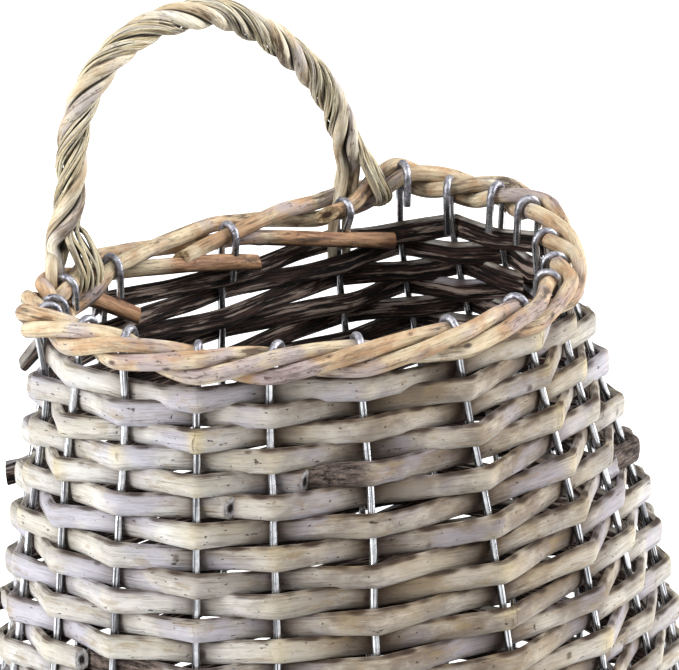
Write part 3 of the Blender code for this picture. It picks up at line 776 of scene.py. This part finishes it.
def rim_stops(stake, drop, out):
    """A border rod's places at a stake: one, or two either side of a foot of the handle."""
    if stake % STAKE_COUNT not in (LEFT_FOOT, RIGHT_FOOT):
        return [(stake, drop, out)]
    before = stake - FOOT_HALF / spacing(stake - 1)
    return [(before, drop, out), (stake + FOOT_HALF / spacing(stake), drop, out)]


def rim_table(order, last):
    """Places of a border rod past its thick end: low outside a stake, high outside the next, and inside."""
    table = []
    middle = (RIM_LOW_DROP + RIM_HIGH_DROP) / 2
    for stake in range(order + 1, last + 1):
        stage = (stake - order) % 3
        at_foot = stake % STAKE_COUNT in (LEFT_FOOT, RIGHT_FOOT)
        rise = OUTER_RISES.get(stake % STAKE_COUNT, 0.0)
        if stage == 0:
            table += rim_stops(stake, HOOK_DROP, -RIM_REACH)
            table.append((stake + 0.5, RIM_LOW_DROP, 0))
        elif stage == 1:
            table += rim_stops(stake, RIM_LOW_DROP - rise, RIM_REACH)
            table.append((stake + 0.5, middle - rise, RIM_BULGE + at_foot * WIRE_R))
        else:
            table += rim_stops(stake, RIM_HIGH_DROP - rise, RIM_REACH)
            table.append((stake + 0.5, RIM_HIGH_DROP - at_foot * WIRE_R - rise / 2, 0))
    table.pop()
    if order != 1:
        return table
    inside = -RIM_REACH - RIM_R
    low = RIM_LOW_DROP + 2 * WIRE_R
    return table + [
        (last + 0.25, HOOK_DROP + WIRE_R, -RIM_REACH - WIRE_R),
        (last + 0.5, RIM_LOW_DROP, inside),
        (last + 0.77, low, -RIM_REACH),
        (last + 1.1, low, -RIM_REACH),
        (last + 1.4, low + WIRE_R, inside),
        (last + 2, low + 2 * WIRE_R, inside - 2 * WIRE_R),
        (last + 3, low + RIM_R, inside - 2 * RIM_R),
        (last + 3.7, low + RIM_R + WIRE_R, inside - 4 * RIM_R),
    ]


def peeled_willow(name, pale, warm, cool, dark):
    """Finish of a peeled rod: three colours in patches along it, dark grain and knots, and painted shade
    where light is low.
    """
    made, tree, shader = new_finish(name, 0.6)
    shader.inputs["Specular IOR Level"].default_value = 0.3
    own = marked(tree, "own_place")[4]
    light, _, knot, cut, _ = marked(tree, "coat")
    russet, brown, _, _, _ = marked(tree, "mood")
    fibre = cloud(tree, own, 1700, 5.0, 0.7, (0.05, 1, 1))
    streak = cloud(tree, own, 550, 4.0, 0.65, (0.1, 1, 1))
    patch = cloud(tree, own, 110, 4.0, 0.65, (0.5, 1, 1))
    tint = cloud(tree, own, 60, 3.0, 0.6, (0.7, 1, 1))
    specks = sharpened(tree, cloud(tree, own, 1100, 3.0, 0.6, (0.4, 1, 1)), 0.6, 0.68)
    skin = shifted(tree, patch, 0.38, 0.6, warm, pale)
    skin = laid_over(tree, skin, tint, 0.5, 0.64, 0.8, cool)
    skin = laid_over(tree, skin, patch, 0.6, 0.7, 0.7, shade(248, 242, 226))
    skin = blended(tree, product(tree, brown, 0.3), skin, shade(156, 124, 94))
    stain = cloud(tree, own, 300, 6.0, 0.75, (0.2, 1, 1))
    stained = sharpened(tree, cloud(tree, own, 42, 2.0, 0.5), 0.46, 0.6)
    bark = shifted(tree, streak, 0.4, 0.6, shade(126, 82, 56), shade(208, 160, 118))
    skin = blended(tree, product(tree, russet, 0.9), skin, bark)
    stain = product(tree, sharpened(tree, stain, 0.47, 0.6, 0, 0.9), stained)
    skin = blended(tree, stain, skin, dark)
    skin = laid_over(tree, skin, streak, 0.51, 0.7, 0.75, dark)
    skin = laid_over(tree, skin, fibre, 0.45, 0.7, 0.45, dark)
    shadow = sharpened(tree, light, 0.0, 0.6, 0.92, 0.0)
    skin = blended(tree, shadow, skin, shade(32, 24, 18))
    specks = product(tree, specks, sharpened(tree, tint, 0.4, 0.6, 0.1, 0.8))
    skin = blended(tree, specks, skin, shade(66, 50, 40))
    skin = laid_over(tree, skin, knot, 0.3, 0.8, 0.9, shade(58, 45, 36))
    pores = sharpened(tree, cloud(tree, own, 1300), 0.4, 0.65)
    end = blended(tree, pores, shade(150, 122, 88), shade(222, 200, 162))
    end = blended(tree, knot, end, shade(70, 52, 40))
    skin = shifted(tree, cut, 0.6, 0.9, skin, end)
    tree.links.new(skin, shader.inputs["Base Color"])
    add_relief(tree, shader, sum_of(tree, fibre, product(tree, streak, 0.8)), 0.0004)
    return made


tan = peeled_willow(
    "tan_willow", shade(228, 211, 178), shade(192, 155, 119), shade(178, 166, 172), shade(70, 54, 44)
)

for order, last in ((0, STAKE_COUNT + 1), (1, STAKE_COUNT + 2), (2, STAKE_COUNT)):
    rng = np.random.default_rng(700 + order)
    at, drop, out = np.array(rim_table(order, last)).T
    table = np.column_stack([rim_place(at, drop, out), at, out])
    ends = []
    for rows in (RIM_BUTTS[order], RIM_TIPS[order]):
        rows = np.array(rows).reshape(-1, 4)
        ends.append(np.column_stack([rows[:, 1:], rows[:, 0], np.full(len(rows), -RIM_REACH)]))
    line = evenly(np.concatenate([ends[0], table, ends[1]]), RIM_STEP)
    line = softened(line, RIM_STEP, 0.003)
    line, at, out = line[:, :3], line[:, 3], line[:, 4]
    along = np.arange(len(line)) * RIM_STEP
    size = RIM_VIEW_R * (1 + 0.06 * wander(along, 0.08, rng))
    scars = knots(along, RIM_ANGLES, rng, 0.028, 0.0018)
    ridges = np.sin(5 * RIM_ANGLES + 2 * wander(along, 0.06, rng)[:, None])
    relief = 1 + 0.02 * ridges + 0.1 * scars
    thick = size[:, None] * relief
    deep, tall = thick * 0.95 * np.cos(RIM_ANGLES), thick * 1.05 * np.sin(RIM_ANGLES)
    grid = carried(line, wall_outward(at), deep, tall)
    grid = slanted(grid, RIM_CUTS[order], RIM_R, RIM_ANGLES)
    # Painted light for the border rods: full outside, lower inside, and painted shade on each rod's
    # underside.
    underside = np.clip(-2 * np.sin(RIM_ANGLES) - 0.8, 0, 1)
    painted_light = 0.8 + 0.2 * out[:, None] / RIM_REACH - 0.65 * underside
    brown = np.clip(1.5 - np.abs(np.mod(at, STAKE_COUNT) - 13) / 3, 0, 1)
    russet = np.clip((RUSSET_LENGTHS[order] - along) / 0.006, 0, 1)
    mood = (russet[:, None], brown[:, None], 0.0, 0.0)
    marks = rod_marks(along, RIM_ANGLES, RIM_R, (painted_light, 0.0, scars), mood, rng)
    piece = add_surface(f"border_rod_{order + 1}", shut(grid), tan, marks)
    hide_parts(f"rim_rod_{order + 1}")

# The handle is a short rope along the wall: two smooth peeled rods side by side, and two bundles of willow
# split into flat straws, all twisted four times and a bit. The rods' thinned feet go down into the weave
# beside a stake; each bundle lies behind the border at one end, and fans out and wraps it at the other.
HANDLE_HEIGHT = 0.0703
HANDLE_ROD_R = 0.0021
# How far the rods' and the bundles' middles stand from the rope's, and how low their left ends come
HANDLE_ROD_OUT = 0.0031
HANDLE_BUNDLE_OUT = 0.0027
LOW_END = 0.006
FAN_END = 0.0148
# Half width and thickness of a bundle, half thickness of a straw, and the length in which it turns a radian
BUNDLE_HALF_WIDE = 0.0019
BUNDLE_HALF_THICK = 0.0018
STRAW_R = 0.00039
STRAW_LAY = 0.02
HANDLE_TURNS = 4.306
HANDLE_START = -0.14 * 2 * math.pi
HANDLE_PAIR_ANGLE = math.radians(45)
HANDLE_BUNDLE_ANGLE = math.radians(126)
HANDLE_FOOT_LIFT = 0.015
STRAW_COUNT = 18
STRAW_ANGLES = ring_of(8)
HANDLE_STEP = 0.0009
# Middle of the arch, as shares of its height: to the right of the basket's middle, and above its mouth
ARCH_SHARES = np.array(
    [
        *((-0.94, 0.027), (-0.905, 0.09), (-0.868, 0.16), (-0.838, 0.28), (-0.818, 0.519), (-0.752, 0.725)),
        *((-0.606, 0.89), (-0.438, 0.965), (-0.218, 0.988), (-0.024, 0.972), (0.171, 0.871), (0.368, 0.728)),
        *((0.552, 0.545), (0.672, 0.33), (0.74, 0.135), (0.76, 0.007)),
    ]
)


def arch_line(low_end):
    """Even places along the handle's middle, down to a height over the mouth at its left end, with the share
    of the twisted length that each has reached."""
    steps = np.linalg.norm(np.diff(ARCH_SHARES, axis=0), axis=1)
    length = np.concatenate([[0], np.cumsum(steps)])
    fine = np.linspace(0, length[-1], 900)
    x = through(np.column_stack([length, ARCH_SHARES[:, 0]]), fine) * HANDLE_HEIGHT
    z = through(np.column_stack([length, ARCH_SHARES[:, 1]]), fine) * HANDLE_HEIGHT
    twist = fine[z > HANDLE_FOOT_LIFT]
    keep = z > np.where(x < 0, low_end, HANDLE_FOOT_LIFT)
    share = (fine[keep] - twist[0]) / (twist[-1] - twist[0])
    line = np.column_stack([x, np.full(len(x), BACK_Y), z + BODY_HEIGHT])[keep]
    return evenly(np.column_stack([line, share]), HANDLE_STEP)


def twisted(angle, radius, low_end):
    """A strand of the rope and its direction away from the rope's middle: both turn as it goes along."""
    middle = arch_line(low_end)
    middle, share = middle[:, :3], middle[:, 3]
    forward = np.gradient(middle, axis=0)
    forward /= np.linalg.norm(forward, axis=1, keepdims=True)
    front = np.array([0.0, -1.0, 0.0])
    turn = (angle + 2 * math.pi * HANDLE_TURNS * share)[:, None]
    away = np.cos(turn) * front + np.sin(turn) * np.cross(forward, front)
    return middle + away * radius, away


def rod_foot(stake, side):
    """A handle rod's thinned end: down beside a stake, through the border and the first two rows."""
    at = stake + side * (WIRE_R + SEAT_GAP + FOOT_TIP / 2) / spacing(stake if side > 0 else stake - 1)
    drops = np.array([-0.0068, -0.0017, 0.0115, 0.0265])
    foot = rim_place(np.full(4, at), drops, np.zeros(4))
    if stake == RIGHT_FOOT:
        lean = np.array([0.0052, 0.0045, 0.001, 0]) + side * np.array([0.0008, 0.0006, 0, 0])
        return foot + lean[:, None] * (1, 0, 0)
    return foot[1:]


handle_tan = peeled_willow(
    "handle_willow", shade(240, 230, 206), shade(206, 184, 150), shade(196, 188, 188), shade(84, 64, 46)
)
straw = peeled_willow(
    "split_willow", shade(238, 228, 198), shade(206, 188, 150), shade(194, 186, 178), shade(66, 50, 38)
)

for number, side in ((1, 1), (2, -1)):
    rng = np.random.default_rng(800 + number)
    rope, away = twisted(HANDLE_START + side * HANDLE_PAIR_ANGLE, HANDLE_ROD_OUT, LOW_END)
    left, right = rod_foot(LEFT_FOOT, -side)[::-1], rod_foot(RIGHT_FOOT, side)
    away = np.concatenate([np.repeat(away[:1], 3, axis=0), away, np.repeat(away[-1:], 4, axis=0)])
    thick = np.concatenate([[0.7, 0.75, 0.85], np.ones(len(rope)), [0.95, 0.85, 0.7, 0.7]])
    line = evenly(np.column_stack([np.concatenate([left, rope, right]), away, thick]), HANDLE_STEP)
    line = softened(line, HANDLE_STEP, 0.0025)
    line, away, thick = line[:, :3], line[:, 3:6], line[:, 6]
    along = np.arange(len(line)) * HANDLE_STEP
    foot = np.clip(4 * (1 - thick), 0, 1)[:, None]
    size = HANDLE_ROD_R * thick * (1 + 0.05 * wander(along, 0.06, rng))
    scars = knots(along, RIM_ANGLES, rng, 0.03, 0.0013)
    relief = 1 + 0.08 * scars
    thick = size[:, None] * relief
    grid = carried(line, away, thick * np.cos(RIM_ANGLES), thick * np.sin(RIM_ANGLES))
    # Painted light: each rod is lit on its side away from the rope's middle, with painted shade where it
    # turns in towards the other strands, except at its thinned feet.
    coat = (np.clip(np.maximum(1.7 * np.cos(RIM_ANGLES), foot), 0, 1), 0.0, scars)
    marks = rod_marks(along, RIM_ANGLES, HANDLE_ROD_R, coat, (0.0, 0.0, 0.0, 0.0), rng)
    piece = add_surface(f"handle_round_rod_{number}", shut(grid), handle_tan, marks)
    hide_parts(f"handle_rod_{number}")

# The bundles' ends: two wrap the border's inner rod and come up behind it, and two are tucked in by a stake
left_wrap = [
    *((-0.0592, 0.069, 0.229), (-0.058, 0.0655, 0.2235), (-0.0565, 0.0632, 0.217), (-0.057, 0.0628, 0.213)),
    *((-0.0573, 0.0645, 0.2096), (-0.0573, 0.068, 0.2088), (-0.0573, 0.0725, 0.21), (-0.0573, 0.074, 0.2125)),
]
right_wrap = [
    *((0.0555, 0.067, 0.226), (0.0583, 0.0645, 0.218), (0.0602, 0.0638, 0.214), (0.0608, 0.0655, 0.2115)),
    *((0.0608, 0.069, 0.211), (0.0605, 0.0735, 0.212), (0.06, 0.0745, 0.215)),
]
left_tuck = [(-0.0659, 0.0685, 0.2195), (-0.0665, 0.0695, 0.2130)]
right_tuck = [(0.0520, 0.0735, 0.2260), (0.0520, 0.0760, 0.2190), (0.0515, 0.0768, 0.2100)]
for number, angle, low_end, left, right, left_fan, right_fan in (
    (1, -HANDLE_BUNDLE_ANGLE, LOW_END, left_tuck[::-1], right_wrap, 0.0, 0.0006),
    (2, HANDLE_BUNDLE_ANGLE, FAN_END, left_wrap[::-1], right_tuck, 0.0022, 0.0),
):
    rng = np.random.default_rng(850 + number)
    rope, away = twisted(HANDLE_START + angle, HANDLE_BUNDLE_OUT, low_end)
    forward = np.gradient(rope, axis=0)
    wide = np.cross(away, forward)
    wide /= np.linalg.norm(wide, axis=1, keepdims=True)
    left_wide = np.tile([np.sign(wide[0, 0]), 0, 0], (len(left), 1))
    right_wide = np.tile([np.sign(wide[-1, 0]), 0, 0], (len(right), 1))
    wide = np.concatenate([left_wide, wide, right_wide])
    flat = np.concatenate([np.full(len(left), left_fan), np.zeros(len(rope)), np.full(len(right), right_fan)])
    fan = np.concatenate([np.ones(len(left)), np.zeros(len(rope)), np.ones(len(right))])
    shadow = np.concatenate([np.zeros((len(left), 3)), away, np.zeros((len(right), 3))])
    line = np.concatenate([left, rope, right])
    line = evenly(np.column_stack([line, wide, fan, flat, shadow]), HANDLE_STEP)
    line = softened(line, HANDLE_STEP, 0.002)
    line, wide, fan, flat, shadow = line[:, :3], line[:, 3:6], line[:, 6], line[:, 7], line[:, 8:]
    along = np.arange(len(line)) * HANDLE_STEP
    forward, across, over = frames(line, wide)
    grids, marks = [], []
    for index in range(STRAW_COUNT):
        turn = 2 * math.pi * index / STRAW_COUNT + 0.25 * wander(along, 0.05, rng)
        turn += np.cumsum(1 - fan) * HANDLE_STEP / STRAW_LAY
        half_wide, half_thick = BUNDLE_HALF_WIDE + flat, BUNDLE_HALF_THICK * (1 - 0.5 * fan)
        off = across * (np.cos(turn) * half_wide)[:, None] + over * (np.sin(turn) * half_thick)[:, None]
        away = across * (np.cos(turn) * half_thick)[:, None] + over * (np.sin(turn) * half_wide)[:, None]
        half = (STRAW_R + 0.00015 * fan) * (1 + 0.25 * wander(along, 0.05, rng))
        half = half[:, None]
        one = carried(line + off, away, half * np.cos(STRAW_ANGLES), half * np.sin(STRAW_ANGLES))
        # Painted light: straws on the bundle's outer side and each straw's outer face are lit. Those turned
        # in towards the rope's middle get painted shade, and the fanned ends are mostly lit.
        facing = (off / np.linalg.norm(off, axis=1, keepdims=True) * shadow).sum(1) + fan * 0.6
        light = np.clip(0.4 + 1.1 * facing, 0, 1)[:, None] * np.clip(0.2 + 1.1 * np.cos(STRAW_ANGLES), 0, 1)
        coat = (light, 0.0, 0.0)
        grids.append(shut(one))
        marks.append(rod_marks(along, STRAW_ANGLES, 0.0006, coat, (0.0, 0.0, 0.0, 0.0), rng))
    marks = {label: np.stack([each[label] for each in marks]) for label in marks[0]}
    piece = add_surface(f"handle_straw_bundle_{number}", np.stack(grids), straw, marks)
    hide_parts(f"handle_skein_{number}")

# The bottom is a D-shaped board of five-layer plywood, drilled round its edge for the stakes. Its faces show
# long brown grain, and its sawn edge shows the layers as light and dark bands.
board, tree, shader = new_finish("plywood_board", 0.62)
place = tree.nodes.new("ShaderNodeTexCoord").outputs["Object"]
grain = cloud(tree, place, 160, 4.0, 0.6, (0.06, 1, 1))
rings = linked(tree, "ShaderNodeTexWave", Vector=place, Scale=22.0, Distortion=9.0, Detail=3.0)
rings.bands_direction = "Y"
face = blended(tree, grain, shade(150, 118, 82), shade(204, 176, 136))
face = blended(tree, sharpened(tree, rings.outputs["Fac"], 0.3, 0.9, 0, 0.45), face, shade(128, 96, 66))
height = linked(tree, "ShaderNodeSeparateXYZ", Vector=place).outputs["Z"]
layer = sum_of(tree, product(tree, height, 1 / 0.003), 0.15, "ADD")
band = sum_of(tree, layer, 0.0, "FRACT")
edge = shifted(tree, band, 0.44, 0.54, shade(122, 92, 62), shade(198, 168, 124))
saw_marks = sharpened(tree, cloud(tree, place, 900, 3.0, 0.6, (1, 1, 0.3)), 0.4, 0.7, 0, 0.6)
edge = blended(tree, saw_marks, edge, shade(96, 72, 50))
upright = linked(tree, "ShaderNodeNewGeometry").outputs["True Normal"]
facing = linked(tree, "ShaderNodeSeparateXYZ", Vector=upright).outputs["Z"]
flat = sharpened(tree, sum_of(tree, facing, 0.0, "ABSOLUTE"), 0.4, 0.6)
tree.links.new(blended(tree, flat, edge, face), shader.inputs["Base Color"])
add_relief(tree, shader, grain, 0.0003)
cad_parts["base_board"].data.materials.clear()
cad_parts["base_board"].data.materials.append(board)

# Two wide soft boxes stand left and right of the camera and a faint one hangs above; the sky is an even
# white. The floor glows for the camera up to white and keeps the basket's soft shadow.
LAMP_DISTANCE = 1.8
FLOOR_HALF = 5
# The floor lies a little below the board, so that the two faces don't mix
FLOOR_HEIGHT = -0.0005
for name, azimuth, elevation, power, width, height in (
    ("left_box", -98, 26, 38, 0.8, 1.6),
    ("right_box", 60, 24, 50, 0.8, 1.6),
    ("top_box", -40, 80, 8, 1.2, 1.2),
):
    azimuth, elevation = math.radians(azimuth), math.radians(elevation)
    level = math.cos(elevation)
    towards = Vector((math.sin(azimuth) * level, -math.cos(azimuth) * level, math.sin(elevation)))
    lamp = bpy.data.lights.new(name, "AREA")
    lamp.shape = "RECTANGLE"
    lamp.size, lamp.size_y, lamp.energy = width, height, power
    box = bpy.data.objects.new(name, lamp)
    box.location = VIEW_CENTRE + towards * LAMP_DISTANCE
    box.rotation_euler = towards.to_track_quat("Z", "Y").to_euler()
    bpy.context.scene.collection.objects.link(box)


def seen_directly(tree):
    """1 for a ray from the camera, or one by way of metal or glass, and 0 for other light."""
    path = tree.nodes.new("ShaderNodeLightPath")
    seen = sum_of(tree, path.outputs["Is Camera Ray"], path.outputs["Is Glossy Ray"], "MAXIMUM")
    return sum_of(tree, seen, path.outputs["Is Transmission Ray"], "MAXIMUM")


sky = bpy.data.worlds.new("white_sky")
sky.use_nodes = True
backdrop = sky.node_tree.nodes["Background"]
backdrop.inputs["Color"].default_value = (1, 1, 1, 1)
glow = sharpened(sky.node_tree, seen_directly(sky.node_tree), 0, 1, 0.28, 1.0)
sky.node_tree.links.new(glow, backdrop.inputs["Strength"])
bpy.context.scene.world = sky

floor_mesh = bpy.data.meshes.new("floor")
corners = [(x * FLOOR_HALF, y * FLOOR_HALF, FLOOR_HEIGHT) for x, y in ((-1, -1), (1, -1), (1, 1), (-1, 1))]
floor_mesh.from_pydata(corners, [], [(0, 1, 2, 3)])
floor_finish, tree, shader = new_finish("pale_floor", 0.9)
shader.inputs["Base Color"].default_value = (0.8, 0.8, 0.8, 1)
shader.inputs["Specular IOR Level"].default_value = 0
shader.inputs["Emission Color"].default_value = (1, 1, 1, 1)
tree.links.new(sharpened(tree, seen_directly(tree), 0, 1, 0, 0.7), shader.inputs["Emission Strength"])
floor_mesh.materials.append(floor_finish)
floor = bpy.data.objects.new("floor", floor_mesh)
bpy.context.scene.collection.objects.link(floor)
floor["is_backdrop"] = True

bpy.context.scene.view_settings.view_transform = "Standard"

size = {"cad": [list(cad_low), list(cad_high)], "visual": [list(corner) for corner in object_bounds()]}
